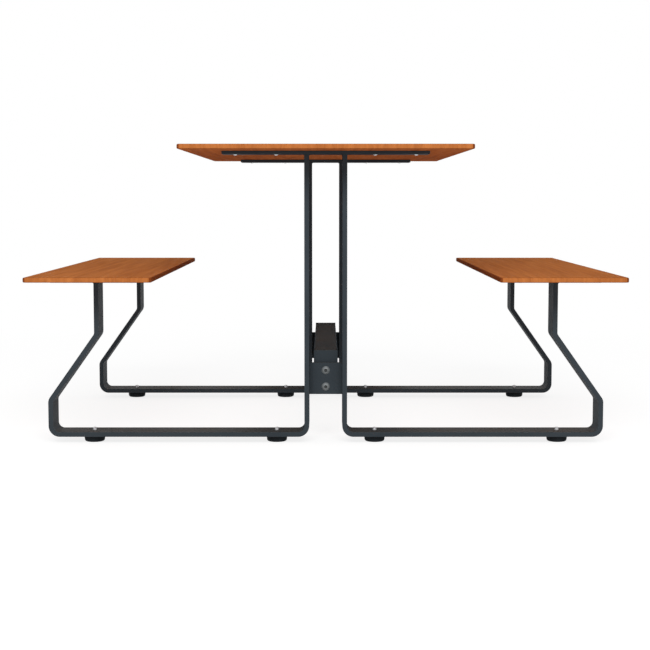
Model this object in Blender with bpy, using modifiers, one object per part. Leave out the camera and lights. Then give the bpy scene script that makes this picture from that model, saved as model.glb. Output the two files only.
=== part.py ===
"""Table with two attached benches on bent flat-bar frames.

Three thin boards rest on two frames that stand across the table's length. A frame is two
bent flat bars, each of them a post, a floor rail and a bench leg in one piece, with a plate
welded between the posts. A rectangular tube, bolted to both plates, joins the frames.
Lengths are in metres. X runs from bench to bench, Y along the boards and Z up from the floor.
"""

import math
from collections import namedtuple

import bmesh
import bpy
from mathutils import Matrix, Vector

# Boards
BOARD_LENGTH = 1.200
BOARD_THICKNESS = 0.012
BOARD_CORNER_RADIUS = 0.010
BOARD_EDGE_RADIUS = 0.003
TABLE_WIDTH = 0.718
TABLE_HEIGHT = 0.750
BENCH_WIDTH = 0.313
BENCH_OFFSET = 0.5785
SEAT_HEIGHT = 0.428

# Bent bars of the frames, their radii on the inside of the bends.
# The kick is how far the outer upright stands outside the bench's middle
FRAME_INSET = 0.180
BAR_WIDTH = 0.080
BAR_THICKNESS = 0.012
BAR_EDGE_RADIUS = 0.0008
FLOOR_BEND_RADIUS = 0.016
KNEE_RADIUS = 0.012
POST_GAP = 0.084
UPRIGHT_KICK = 0.1185
LOW_KNEE_HEIGHT = 0.109
BENCH_UPRIGHT_LENGTH = 0.131

# Flat bars under the boards, inset from the boards' long edges
BOARD_BAR_THICKNESS = 0.008
TABLE_BAR_INSET = 0.0985
BENCH_BAR_INSET = 0.042

# Stretcher: the plates between the posts, and the tube with its end plates
CROSS_PLATE_HEIGHT = 0.081
CROSS_PLATE_THICKNESS = 0.010
CROSS_PLATE_MIDDLE = 0.1615
TUBE_WIDTH = 0.061
TUBE_HEIGHT = 0.100
TUBE_WALL = 0.003
TUBE_INNER_RADIUS = 0.003
TUBE_RISE = 0.0305
END_PLATE_THICKNESS = 0.008

# Feet, set in from the post and from the outer upright
FOOT_DIAMETER = 0.054
FOOT_HEIGHT = 0.016
FOOT_TAPER = 0.0015
FOOT_RIM_CHAMFER = 0.001
FOOT_EDGE_RADIUS = 0.0045
FOOT_POST_INSET = 0.077
FOOT_UPRIGHT_INSET = 0.105

# Button-head bolts through the cross plates into the stretcher
STRETCHER_BOLT_SHANK = 0.012
STRETCHER_BOLT_HEAD = 0.021
STRETCHER_BOLT_RISE = 0.0066
STRETCHER_BOLT_HEX = 0.008
STRETCHER_BOLT_HEX_DEPTH = 0.004
STRETCHER_BOLT_BITE = 0.006
STRETCHER_BOLT_SPACING = 0.042

# Socket-cap bolts through the rails into the feet
FOOT_BOLT_SHANK = 0.006
FOOT_BOLT_HEAD = 0.010
FOOT_BOLT_RISE = 0.0075
FOOT_BOLT_RIM = 0.0065
FOOT_BOLT_HEX = 0.005
FOOT_BOLT_HEX_DEPTH = 0.003
FOOT_BOLT_BITE = 0.009

# Dome-head screws through the flat bars into the boards
BOARD_SCREW_SHANK = 0.005
BOARD_SCREW_HEAD = 0.0095
BOARD_SCREW_RISE = 0.0028
BOARD_SCREW_HEX = 0.003
BOARD_SCREW_HEX_DEPTH = 0.002
BOARD_SCREW_BITE = 0.008
TABLE_SCREW_POST_INSET = 0.077
TABLE_SCREW_END_INSET = 0.032
BENCH_SCREW_END_INSET = 0.030

# The straight rim under a domed head, the shanks' tips, and the gap between pieces that touch or fit
DOME_RIM = 0.0008
SHANK_CHAMFER = 0.001
CLEARANCE = 0.0003

# Facets
ARC_STEP = math.radians(15)
CORNER_SEGMENTS = 6
EDGE_SEGMENTS = 3
BOLT_STEPS = 12
SCREW_STEPS = 10
FOOT_STEPS = 20
HOLE_SIDES = 12
DOME_STEPS = 3
SHARP_ANGLE = math.radians(40)

# Places and sizes that follow from those above
BOARD_EDGE = min(BOARD_EDGE_RADIUS, 0.45 * BOARD_THICKNESS)
FRAME_OFFSET = BOARD_LENGTH / 2 - FRAME_INSET
TABLE_BAR_TOP = TABLE_HEIGHT - BOARD_THICKNESS - CLEARANCE
BENCH_BAR_TOP = SEAT_HEIGHT - BOARD_THICKNESS - CLEARANCE
TABLE_BAR_LENGTH = TABLE_WIDTH - 2 * TABLE_BAR_INSET
BENCH_BAR_LENGTH = BENCH_WIDTH - 2 * BENCH_BAR_INSET
POST_TOP = TABLE_BAR_TOP - BOARD_BAR_THICKNESS - CLEARANCE
LEG_TOP = BENCH_BAR_TOP - BOARD_BAR_THICKNESS - CLEARANCE
HIGH_KNEE_HEIGHT = LEG_TOP - BENCH_UPRIGHT_LENGTH
POST_OFFSET = POST_GAP / 2 + BAR_THICKNESS / 2
UPRIGHT_OFFSET = BENCH_OFFSET + UPRIGHT_KICK
RAIL_BOTTOM = FOOT_HEIGHT + CLEARANCE
RAIL_TOP = RAIL_BOTTOM + BAR_THICKNESS
CROSS_PLATE_BOTTOM = CROSS_PLATE_MIDDLE - CROSS_PLATE_HEIGHT / 2
CROSS_PLATE_FACE = FRAME_OFFSET + CROSS_PLATE_THICKNESS / 2
END_PLATE_FACE = FRAME_OFFSET - CROSS_PLATE_THICKNESS / 2 - CLEARANCE
TUBE_TOP = CROSS_PLATE_MIDDLE + CROSS_PLATE_HEIGHT / 2 + TUBE_RISE
TUBE_LENGTH = 2 * (END_PLATE_FACE - END_PLATE_THICKNESS - CLEARANCE)

Fastener = namedtuple("Fastener", "shank head rise rim hex hex_depth reach")
STRETCHER_BOLT = Fastener(
    STRETCHER_BOLT_SHANK,
    STRETCHER_BOLT_HEAD,
    STRETCHER_BOLT_RISE,
    DOME_RIM,
    STRETCHER_BOLT_HEX,
    STRETCHER_BOLT_HEX_DEPTH,
    CROSS_PLATE_THICKNESS + 2 * CLEARANCE + STRETCHER_BOLT_BITE,
)
FOOT_BOLT = Fastener(
    FOOT_BOLT_SHANK,
    FOOT_BOLT_HEAD,
    FOOT_BOLT_RISE,
    FOOT_BOLT_RIM,
    FOOT_BOLT_HEX,
    FOOT_BOLT_HEX_DEPTH,
    BAR_THICKNESS + 2 * CLEARANCE + FOOT_BOLT_BITE,
)
BOARD_SCREW = Fastener(
    BOARD_SCREW_SHANK,
    BOARD_SCREW_HEAD,
    BOARD_SCREW_RISE,
    DOME_RIM,
    BOARD_SCREW_HEX,
    BOARD_SCREW_HEX_DEPTH,
    BOARD_BAR_THICKNESS + 2 * CLEARANCE + BOARD_SCREW_BITE,
)

SIDES = (("left", -1), ("right", 1))
ENDS = (("front", -1), ("rear", 1))
FACE_DOWN = Matrix.Rotation(math.pi, 4, "X")


def new_collection(name):
    """A collection of this name in the scene."""
    made = bpy.data.collections.new(name)
    bpy.context.scene.collection.children.link(made)
    return made


def new_material(name, colour, roughness, metallic):
    """A plain surface finish, its colour in linear values."""
    material = bpy.data.materials.new(name)
    material.use_nodes = True
    shader = material.node_tree.nodes["Principled BSDF"]
    shader.inputs["Base Color"].default_value = (*colour, 1.0)
    shader.inputs["Roughness"].default_value = roughness
    shader.inputs["Metallic"].default_value = metallic
    return material


def new_mesh(name, shape):
    """The mesh of a bmesh, smooth across round faces and crisp at edges."""
    mesh = bpy.data.meshes.new(name)
    shape.to_mesh(mesh)
    shape.free()
    mesh.shade_smooth()
    mesh.set_sharp_from_angle(angle=SHARP_ANGLE)
    return mesh


def add_piece(name, mesh, material, place):
    """An object of the part, placed by a matrix."""
    piece = bpy.data.objects.new(name, mesh)
    PARTS.objects.link(piece)
    piece.parent = WHOLE
    piece.matrix_world = place
    if not mesh.materials:
        mesh.materials.append(material)
    return piece


def at(x, y, z):
    """The place with these coordinates, unturned."""
    return Matrix.Translation((x, y, z))


def box(width, depth, height):
    """A box centred on the origin."""
    shape = bmesh.new()
    bmesh.ops.create_cube(shape, size=1.0, matrix=Matrix.Diagonal((width, depth, height, 1.0)))
    return shape


def edges_along(shape, axis):
    """The straight edges of a shape that run along an axis, 0 for X to 2 for Z."""
    found = []
    for edge in shape.edges:
        run = edge.verts[0].co - edge.verts[1].co
        if abs(run[axis]) > 0.999 * run.length:
            found.append(edge)
    return found


def round_edges(piece, radius, segments):
    """Rounds the edges where faces of a piece meet squarely."""
    bevel = piece.modifiers.new("round_edges", "BEVEL")
    bevel.width = radius
    bevel.segments = segments
    bevel.limit_method = "ANGLE"
    bevel.angle_limit = math.radians(60)


def cut(piece, cutter):
    """Takes the cutter's shape out of a piece."""
    boolean = piece.modifiers.new("cut_" + cutter.name, "BOOLEAN")
    boolean.operation = "DIFFERENCE"
    boolean.solver = "EXACT"
    boolean.object = cutter


def add_cutter(name, places, radius, low, high, sides):
    """One prism in each place, along the place's Z from low to high, with its flats at the radius."""
    shape = bmesh.new()
    corner = radius / math.cos(math.pi / sides)
    for place in places:
        bmesh.ops.create_cone(
            shape,
            cap_ends=True,
            segments=sides,
            radius1=corner,
            radius2=corner,
            depth=high - low,
            matrix=place @ at(0, 0, (low + high) / 2),
        )
    cutter = bpy.data.objects.new(name, new_mesh(name, shape))
    CUTTERS.objects.link(cutter)
    cutter.hide_render = True
    cutter.display_type = "WIRE"
    return cutter


def turned_mesh(name, profile, steps):
    """The solid that a profile of (radius, height) points, listed from the top, sweeps about Z."""
    shape = bmesh.new()
    points = [shape.verts.new((radius, 0, height)) for radius, height in profile]
    for upper, lower in zip(points, points[1:]):
        shape.edges.new((upper, lower))
    outline = bpy.data.objects.new(name, new_mesh(name + "_profile", shape))
    CUTTERS.objects.link(outline)
    screw = outline.modifiers.new("turn", "SCREW")
    screw.steps = steps
    screw.render_steps = steps
    screw.use_merge_vertices = True
    screw.merge_threshold = 0.00001
    bpy.context.view_layer.update()
    graph = bpy.context.evaluated_depsgraph_get()
    mesh = bpy.data.meshes.new_from_object(outline.evaluated_get(graph))
    bpy.data.objects.remove(outline)
    mesh.shade_smooth()
    mesh.set_sharp_from_angle(angle=SHARP_ANGLE)
    return mesh


def arc_points(centre, radius, start, end, steps):
    """Points on an arc about a centre, between two angles, both ends included."""
    points = []
    for step in range(steps + 1):
        angle = start + (end - start) * step / steps
        points.append((centre[0] + radius * math.cos(angle), centre[1] + radius * math.sin(angle)))
    return points


def fastener_profile(size):
    """A head with a straight rim and a domed top, seated at zero height, over its shank."""
    head = size.head / 2
    shank = size.shank / 2
    dome_rise = size.rise - size.rim
    ball = (head**2 + dome_rise**2) / (2 * dome_rise)
    rim_angle = math.asin((ball - dome_rise) / ball)
    dome = arc_points((0, size.rise - ball), ball, math.pi / 2, rim_angle, DOME_STEPS)
    top = [(0, size.rise)] + dome[1:] + [(head, 0)]
    tip = [(shank - SHANK_CHAMFER, -size.reach), (0, -size.reach)]
    return top + [(shank, 0), (shank, SHANK_CHAMFER - size.reach)] + tip


def add_fasteners(kind, size, steps, places, material):
    """A fastener in each named place, with its hex socket. The place's origin is the head's seat."""
    mesh = turned_mesh(kind, fastener_profile(size), steps)
    low = size.rise - size.hex_depth
    high = size.rise + size.hex_depth
    sockets = add_cutter(kind + "_sockets", places.values(), size.hex / 2, low, high, 6)
    for name, place in places.items():
        cut(add_piece(f"{kind}_{name}", mesh, material, place), sockets)


def add_holes(kind, size, depth, places):
    """The cutter for the holes of a kind of fastener, this deep from the seats of the heads."""
    radius = size.shank / 2 + CLEARANCE
    return add_cutter(kind + "_holes", places.values(), radius, -depth, size.rise, HOLE_SIDES)


def board_screw_places(bar_top, columns):
    """Seats of the screws under a board, on the underside of its bars, by name."""
    seat = bar_top - BOARD_BAR_THICKNESS - CLEARANCE
    places = {}
    for end, y in ENDS:
        for column, x in columns:
            places[f"{end}_{column}"] = at(x, y * FRAME_OFFSET, seat) @ FACE_DOWN
    return places


def table_screw_places():
    """Seats of the screws in the table top, beside the posts and near the bars' ends."""
    inner = POST_OFFSET + TABLE_SCREW_POST_INSET
    outer = TABLE_BAR_LENGTH / 2 - TABLE_SCREW_END_INSET
    columns = []
    for side, x in SIDES:
        columns.append((f"{side}_inner", x * inner))
        columns.append((f"{side}_outer", x * outer))
    return board_screw_places(TABLE_BAR_TOP, columns)


def bench_screw_places():
    """Seats of the screws in both benches, near the bars' ends."""
    reach = BENCH_BAR_LENGTH / 2 - BENCH_SCREW_END_INSET
    columns = []
    for side, x in SIDES:
        columns.append((f"{side}_inner", x * (BENCH_OFFSET - reach)))
        columns.append((f"{side}_outer", x * (BENCH_OFFSET + reach)))
    return board_screw_places(BENCH_BAR_TOP, columns)


def foot_places():
    """Where the feet stand, under the middle of the floor rails, by name."""
    rows = (("inner", POST_OFFSET + FOOT_POST_INSET), ("outer", UPRIGHT_OFFSET - FOOT_UPRIGHT_INSET))
    places = {}
    for end, y in ENDS:
        for side, x in SIDES:
            for row, offset in rows:
                places[f"{end}_{side}_{row}"] = at(x * offset, y * FRAME_OFFSET, 0)
    return places


def stretcher_bolt_places():
    """Seats of the bolts on the outer faces of the cross plates, by name."""
    places = {}
    for end, y in ENDS:
        outward = Matrix.Rotation(-y * math.pi / 2, 4, "X")
        for row, z in (("lower", -1), ("upper", 1)):
            height = CROSS_PLATE_MIDDLE + z * STRETCHER_BOLT_SPACING / 2
            seat = at(0, y * (CROSS_PLATE_FACE + CLEARANCE), height)
            places[f"{end}_{row}"] = seat @ outward
    return places


def add_board(name, width, x, height, screw_holes):
    """A board with round corners and a round rim, its top face at the given height."""
    shape = box(width, BOARD_LENGTH, BOARD_THICKNESS)
    bmesh.ops.bevel(
        shape,
        geom=edges_along(shape, 2),
        offset=BOARD_CORNER_RADIUS,
        segments=CORNER_SEGMENTS,
        profile=0.5,
        affect="EDGES",
    )
    middle = at(x, 0, height - BOARD_THICKNESS / 2)
    board = add_piece(name, new_mesh(name, shape), LAMINATE, middle)
    round_edges(board, BOARD_EDGE, EDGE_SEGMENTS)
    cut(board, screw_holes)


def rounded_path(corners, radii):
    """The points of a path through the corners, with an arc at each inner one."""
    points = [corners[0]]
    for before, corner, after, radius in zip(corners, corners[1:], corners[2:], radii):
        back = (before - corner).normalized()
        ahead = (after - corner).normalized()
        half = back.angle(ahead) / 2
        centre = corner + (back + ahead).normalized() * radius / math.sin(half)
        start = corner + back * radius / math.tan(half) - centre
        end = corner + ahead * radius / math.tan(half) - centre
        turn = start.angle(end)
        steps = max(2, round(turn / ARC_STEP))
        axis = start.cross(end)
        for step in range(steps + 1):
            points.append(centre + Matrix.Rotation(turn * step / steps, 3, axis) @ start)
    return points + [corners[-1]]


def leg_mesh():
    """The middle surface of a right-hand leg: post, rail, upright, slope and bench upright."""
    rail = RAIL_BOTTOM + BAR_THICKNESS / 2
    outline = (
        (POST_OFFSET, POST_TOP),
        (POST_OFFSET, rail),
        (UPRIGHT_OFFSET, rail),
        (UPRIGHT_OFFSET, LOW_KNEE_HEIGHT),
        (BENCH_OFFSET, HIGH_KNEE_HEIGHT),
        (BENCH_OFFSET, LEG_TOP),
    )
    corners = [Vector((x, -BAR_WIDTH / 2, z)) for x, z in outline]
    floor_bend = FLOOR_BEND_RADIUS + BAR_THICKNESS / 2
    knee = KNEE_RADIUS + BAR_THICKNESS / 2
    shape = bmesh.new()
    path = rounded_path(corners, (floor_bend, floor_bend, knee, knee))
    points = [shape.verts.new(point) for point in path]
    edges = [shape.edges.new(pair) for pair in zip(points, points[1:])]
    swept = bmesh.ops.extrude_edge_only(shape, edges=edges)
    far_points = [item for item in swept["geom"] if isinstance(item, bmesh.types.BMVert)]
    bmesh.ops.translate(shape, verts=far_points, vec=(0, BAR_WIDTH, 0))
    return new_mesh("leg", shape)


def add_legs(foot_bolt_holes):
    """The four bent bars. A left one is a right one turned half round."""
    mesh = leg_mesh()
    for end, y in ENDS:
        for side, x in SIDES:
            turn = Matrix.Rotation(0 if x > 0 else math.pi, 4, "Z")
            leg = add_piece(f"leg_{end}_{side}", mesh, COAT, at(0, y * FRAME_OFFSET, 0) @ turn)
            thicken = leg.modifiers.new("thicken", "SOLIDIFY")
            thicken.thickness = BAR_THICKNESS
            thicken.offset = 0
            thicken.use_even_offset = True
            round_edges(leg, BAR_EDGE_RADIUS, 1)
            cut(leg, foot_bolt_holes)


def add_flat(name, width, depth, height, middle, holes):
    """A flat piece of steel with eased edges and drilled holes."""
    flat = add_piece(name, new_mesh(name, box(width, depth, height)), COAT, middle)
    round_edges(flat, BAR_EDGE_RADIUS, 1)
    cut(flat, holes)


def add_board_bars(table_screw_holes, bench_screw_holes):
    """The flat bars on the posts and on the bench legs."""
    table_middle = TABLE_BAR_TOP - BOARD_BAR_THICKNESS / 2
    bench_middle = BENCH_BAR_TOP - BOARD_BAR_THICKNESS / 2
    for end, y in ENDS:
        middle = at(0, y * FRAME_OFFSET, table_middle)
        size = (TABLE_BAR_LENGTH, BAR_WIDTH, BOARD_BAR_THICKNESS)
        add_flat(f"table_bar_{end}", *size, middle, table_screw_holes)
        for side, x in SIDES:
            middle = at(x * BENCH_OFFSET, y * FRAME_OFFSET, bench_middle)
            size = (BENCH_BAR_LENGTH, BAR_WIDTH, BOARD_BAR_THICKNESS)
            add_flat(f"bench_bar_{end}_{side}", *size, middle, bench_screw_holes)


def add_stretcher(bolt_holes):
    """The cross plates in the frames, and the tube between them with its end plates."""
    end_height = TUBE_TOP - CROSS_PLATE_BOTTOM
    end_middle = END_PLATE_FACE - END_PLATE_THICKNESS / 2
    for end, y in ENDS:
        size = (POST_GAP - 2 * CLEARANCE, CROSS_PLATE_THICKNESS, CROSS_PLATE_HEIGHT)
        add_flat(f"cross_plate_{end}", *size, at(0, y * FRAME_OFFSET, CROSS_PLATE_MIDDLE), bolt_holes)
        size = (TUBE_WIDTH, END_PLATE_THICKNESS, end_height)
        middle = at(0, y * end_middle, CROSS_PLATE_BOTTOM + end_height / 2)
        add_flat(f"stretcher_end_{end}", *size, middle, bolt_holes)

    shape = box(TUBE_WIDTH, TUBE_LENGTH, TUBE_HEIGHT)
    open_ends = [face for face in shape.faces if abs(face.normal.y) > 0.5]
    bmesh.ops.delete(shape, geom=open_ends, context="FACES_ONLY")
    bmesh.ops.bevel(
        shape,
        geom=edges_along(shape, 1),
        offset=TUBE_INNER_RADIUS + TUBE_WALL,
        segments=EDGE_SEGMENTS,
        profile=0.5,
        affect="EDGES",
    )
    tube = add_piece("stretcher_tube", new_mesh("tube", shape), COAT, at(0, 0, TUBE_TOP - TUBE_HEIGHT / 2))
    wall = tube.modifiers.new("wall", "SOLIDIFY")
    wall.thickness = TUBE_WALL
    wall.offset = -1
    wall.use_even_offset = True


def foot_profile():
    """A low pad that narrows to its base, with a round lower edge."""
    wide = FOOT_DIAMETER / 2
    edge = FOOT_EDGE_RADIUS
    rim = [(wide - FOOT_RIM_CHAMFER, FOOT_HEIGHT), (wide, FOOT_HEIGHT - FOOT_RIM_CHAMFER)]
    lower = arc_points((wide - FOOT_TAPER - edge, edge), edge, 0, -math.pi / 2, EDGE_SEGMENTS)
    return [(0, FOOT_HEIGHT)] + rim + lower + [(0, 0)]


def add_feet(places, bolt_holes):
    """The pads under the rails, each with a blind hole for its bolt."""
    mesh = turned_mesh("foot", foot_profile(), FOOT_STEPS)
    for name, place in places.items():
        cut(add_piece("foot_" + name, mesh, RUBBER, place), bolt_holes)


def build():
    """Every piece, kind by kind: first the holes that its fasteners need, then what they hold."""
    table_screws = table_screw_places()
    bench_screws = bench_screw_places()
    screw_depth = BOARD_SCREW.reach + CLEARANCE
    table_screw_holes = add_holes("table_screw", BOARD_SCREW, screw_depth, table_screws)
    bench_screw_holes = add_holes("bench_screw", BOARD_SCREW, screw_depth, bench_screws)

    feet = foot_places()
    seat = at(0, 0, RAIL_TOP + CLEARANCE)
    foot_bolts = {name: seat @ place for name, place in feet.items()}
    foot_bolt_holes = add_holes("foot_bolt", FOOT_BOLT, FOOT_BOLT.reach + CLEARANCE, foot_bolts)

    stretcher_bolts = stretcher_bolt_places()
    through_end = STRETCHER_BOLT.reach + END_PLATE_THICKNESS
    stretcher_holes = add_holes("stretcher_bolt", STRETCHER_BOLT, through_end, stretcher_bolts)

    add_board("table_top", TABLE_WIDTH, 0, TABLE_HEIGHT, table_screw_holes)
    for side, x in SIDES:
        add_board(f"bench_seat_{side}", BENCH_WIDTH, x * BENCH_OFFSET, SEAT_HEIGHT, bench_screw_holes)
    add_legs(foot_bolt_holes)
    add_board_bars(table_screw_holes, bench_screw_holes)
    add_stretcher(stretcher_holes)
    add_feet(feet, foot_bolt_holes)

    add_fasteners("table_screw", BOARD_SCREW, SCREW_STEPS, table_screws, STAINLESS)
    add_fasteners("bench_screw", BOARD_SCREW, SCREW_STEPS, bench_screws, STAINLESS)
    add_fasteners("foot_bolt", FOOT_BOLT, BOLT_STEPS, foot_bolts, STAINLESS)
    add_fasteners("stretcher_bolt", STRETCHER_BOLT, BOLT_STEPS, stretcher_bolts, STEEL)


for leftover in list(bpy.data.objects):
    bpy.data.objects.remove(leftover, do_unlink=True)

PARTS = new_collection("bench_table")
CUTTERS = new_collection("cutters")
WHOLE = bpy.data.objects.new("bench_table_origin", None)
PARTS.objects.link(WHOLE)

LAMINATE = new_material("wood_board", (0.44, 0.17, 0.05), 0.5, 0.0)
COAT = new_material("anthracite_powder_coat", (0.048, 0.056, 0.064), 0.55, 0.0)
STAINLESS = new_material("stainless_steel", (0.70, 0.70, 0.72), 0.25, 1.0)
STEEL = new_material("plated_steel", (0.28, 0.31, 0.32), 0.4, 1.0)
RUBBER = new_material("black_foot_pad", (0.012, 0.014, 0.016), 0.7, 0.0)

build()
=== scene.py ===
"""Looks of a table with two attached benches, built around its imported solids.

Each operator makes the finer meshes of one kind of piece where the solids stand, and gives them
their finish. Lengths are in metres. X runs from bench to bench, Y along the boards and Z up.
"""

import math

import bmesh
import bpy
from bpy.props import FloatProperty, FloatVectorProperty, PointerProperty
from mathutils import Matrix, Vector


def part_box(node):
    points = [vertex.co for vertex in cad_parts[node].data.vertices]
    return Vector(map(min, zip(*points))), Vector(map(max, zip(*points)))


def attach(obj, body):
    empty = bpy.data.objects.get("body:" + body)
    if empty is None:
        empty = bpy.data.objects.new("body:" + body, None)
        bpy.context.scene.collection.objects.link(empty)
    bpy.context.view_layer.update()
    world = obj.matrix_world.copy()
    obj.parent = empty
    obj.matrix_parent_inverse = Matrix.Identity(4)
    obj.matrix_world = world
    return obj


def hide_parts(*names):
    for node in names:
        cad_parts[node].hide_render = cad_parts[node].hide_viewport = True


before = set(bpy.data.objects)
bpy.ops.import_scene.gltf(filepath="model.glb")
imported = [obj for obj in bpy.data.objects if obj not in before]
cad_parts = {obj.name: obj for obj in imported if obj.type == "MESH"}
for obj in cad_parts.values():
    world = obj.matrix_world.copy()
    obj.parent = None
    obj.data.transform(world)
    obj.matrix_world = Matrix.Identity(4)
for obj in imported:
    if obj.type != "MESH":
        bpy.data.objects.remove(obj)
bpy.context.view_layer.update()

bl_info = {
    "name": "Table with attached benches",
    "version": (1, 0, 0),
    "blender": (4, 5, 0),
    "location": "View3D > Sidebar > Bench table",
    "description": "Boards, bent steel frames, fasteners and studio of a table with two benches",
    "category": "Add Mesh",
}

SIDES = ("left", "right")
ENDS = ("front", "rear")
ACROSS = Vector((1, 0, 0))
ALONG = Vector((0, 1, 0))
UP = Vector((0, 0, 1))

# How finely round forms are divided
CORNER_SEGMENTS = 16
RIM_SEGMENTS = 8
EDGE_SEGMENTS = 3
BEND_STEP = math.radians(5)
TURN_STEPS = 40
DOME_STEPS = 8
BEAD_STEPS = 4
HEX_SIDES = 6

# What counts as one point, as a sharp edge, and as an edge that runs along an axis
MERGE_DISTANCE = 0.000001
SHARP_ANGLE = math.radians(32)
PARALLEL = 0.999

# How squarely a board's level faces, ends and long sides look along their axis. The long sides
# take in most of each corner.
LEVEL_FACING = 0.9
END_FACING = 0.6
SIDE_FACING = 0.35

# How far along Y the eased edges of a bent bar look: more than its flats, less than its sides
EASED_FACING = (0.02, 0.98)

# How large a weld is at its tips, on a ripple and between ripples, against its full size
WELD_TIP = 0.6
WELD_CREST = 1.0
WELD_DIP = 0.9

# A socket's faces lie within this part of its width, and at most this far under its floor
SOCKET_REACH = 0.505
SOCKET_SLACK = 0.0001

# Most of a cloudy pattern lies in this range
CLOUD_RANGE = (0.3, 0.7)

# Patterns of the wood, as features to the metre across the grain, along it and through the board
SWAY = (1.6, 0.8, 1.6)
FIGURE = (16.0, 0.9, 5.0)
STREAKS = (75.0, 1.6, 14.0)
FIBRES = (420.0, 7.0, 45.0)
PORES = (1100.0, 42.0, 160.0)

# How far the grain sways, how many rings the figure has, and what counts as figure and as a pore
SWAY_REACH = (0.05, 0.0, 0.02)
RING_COUNT = 11.0
FIGURE_RANGE = (0.25, 0.75)
PORE_RANGE = (0.60, 0.72)

# How far each pattern tells in the colour, and pores also in the relief and the dullness
FIGURE_SHARE = (0.08, 0.30)
RING_SHARE = 0.20
STREAK_SHARE = 0.30
FIBRE_SHARE = 0.30
PORE_SHARE = 0.35
PORE_DEPTH = 0.7
PORE_DULLNESS = 0.15

# How far down a face looks where it gets the full painted shade of an underside, and where it no
# longer does
UNDER_FACING = (-1.0, -0.5)

# How much of the rim's painted shade shows where it is fully marked, and how far the ends are
# marked
RIM_SHARE = 0.8
END_MARK = 0.1

# How far up a coated face looks where dust begins to lie, and where it is thickest
DUST_FACING = (0.6, 1.0)

# What counts as a rubbed spot on the coat's edges, how bare it is, and how far grit stands proud
RUB_RANGE = (0.40, 0.70)
RUB_SHARE = 0.5
GRIT_HEIGHT = 0.45

# How much the finishes shine. Near the posts the coat barely shines, as painted shade; further out
# it shines fully.
WOOD_SHINE = 0.003
COAT_SHINE = (0.002, 0.07)
RUBBER_SHINE = 0.08

# How rough each bare metal is, and how far it shows as metal
METAL_LOOKS = {
    "bright_steel": (0.38, 0.55),
    "zinc_white": (0.5, 0.25),
    "dull_plating": (0.6, 0.4),
}

# Scratches in bare metal, as features to the metre, and how much of the light reaches a socket
SCRATCHES = (2600.0, 300.0, 900.0)
SOCKET_LIGHT = 0.2

# The floor: its size, its place just under the feet, and where its shadow starts and ends fading
FLOOR_SIZE = 20.0
FLOOR_DROP = 0.0002
SHADOW_FADE = (1.4, 3.0)

# The floor's grey in the object's light. To the camera it is a glow, and a grey that shadows dim.
FLOOR_GREY = 0.9
SHADOW_GLOW = 0.82
SHADOW_GREY = 0.25

# The lamp: its width and height, its place, and the point that it is aimed at
LAMP_SIZE = (3.2, 1.8)
LAMP_PLACE = Vector((0.0, -4.2, 3.0))
LAMP_AIM = Vector((0.0, 0.0, 0.4))


def length(name, description, default):
    """A size in metres."""
    return FloatProperty(
        name=name,
        description=description,
        default=default,
        min=0.0,
        precision=4,
        unit="LENGTH",
    )


def tone(name, description, default):
    """A colour in linear values."""
    return FloatVectorProperty(
        name=name,
        description=description,
        default=default,
        size=3,
        min=0.0,
        max=1.0,
        subtype="COLOR",
    )


class BoardSettings(bpy.types.PropertyGroup):
    """Sizes and tones of the three boards."""

    corner_radius: length("Corner radius", "Radius of a board's corners, seen from above", 0.010)
    edge_radius: length("Edge radius", "Radius of the rim, above and below", 0.003)
    pale_tone: tone("Pale tone", "Colour of the wood between the grain", (0.545, 0.188, 0.052))
    dark_tone: tone("Dark tone", "Colour of the darkest grain", (0.27, 0.074, 0.0165))
    # Painted shade: the rims of the long sides darkened, and the ends a little.
    rim_shade_tone: tone("Rim tone", "Colour of the rim, on the long sides", (0.145, 0.025, 0.005))
    # Painted shade: faces that look down are made darker and redder.
    under_shade_tint: tone("Under tint", "What is kept of the colour underneath", (1.0, 0.86, 0.88))


class SteelSettings(bpy.types.PropertyGroup):
    """Sizes and tones of the coated steel."""

    bar_thickness: length("Bar thickness", "Thickness of the bent bars", 0.012)
    floor_bend_radius: length("Floor bend radius", "Inner radius of the bends by the floor", 0.016)
    knee_radius: length("Knee radius", "Inner radius of the bends under the bench", 0.012)
    edge_radius: length("Edge radius", "How far the coated edges are eased", 0.0006)
    low_knee_height: length("Low knee", "Height of the corner over the outer upright", 0.109)
    bench_upright: length("Bench upright", "From the high knee to the bench bar", 0.131)
    tube_wall: length("Tube wall", "Wall of the stretcher tube", 0.003)
    tube_radius: length("Tube radius", "Outer radius of the stretcher tube's corners", 0.006)
    weld_leg: length("Weld leg", "How far a weld reaches over each wall", 0.002)
    weld_pitch: length("Weld pitch", "Length of one ripple of a weld", 0.0022)
    coat_tone: tone("Coat tone", "Colour of the powder coat", (0.037, 0.0455, 0.053))
    worn_tone: tone("Worn tone", "Colour of rubbed edges", (0.085, 0.092, 0.098))
    dust_tone: tone("Dust tone", "Colour of the film on upward faces", (0.056, 0.047, 0.039))
    # Painted shade: the coat shines less towards the middle, under the table. These set where that
    # fades out.
    painted_shade_fade_start: length("Shade fade start", "How far out the coat's painted shade begins to fade", 0.12)
    painted_shade_fade_end: length("Shade fade end", "How far out the coat is fully polished", 0.40)


class FootSettings(bpy.types.PropertyGroup):
    """Sizes and tone of the foot pads."""

    taper: length("Taper", "How much narrower the base is all round", 0.0015)
    rim_radius: length("Rim radius", "Radius of the upper edge", 0.001)
    base_radius: length("Base radius", "Radius of the lower edge", 0.0045)
    rubber_tone: tone("Rubber tone", "Colour of the pads", (0.015, 0.018, 0.021))


class StretcherBoltSettings(bpy.types.PropertyGroup):
    """Sizes of the bolts that hold the stretcher."""

    shank: length("Shank", "Diameter of the shank", 0.012)
    rise: length("Rise", "Height of the head over its seat", 0.0066)
    rim: length("Rim", "Straight part of the head's side", 0.0008)
    socket: length("Socket", "Hex socket across its flats", 0.008)
    socket_depth: length("Socket depth", "Depth of the socket", 0.004)


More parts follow.
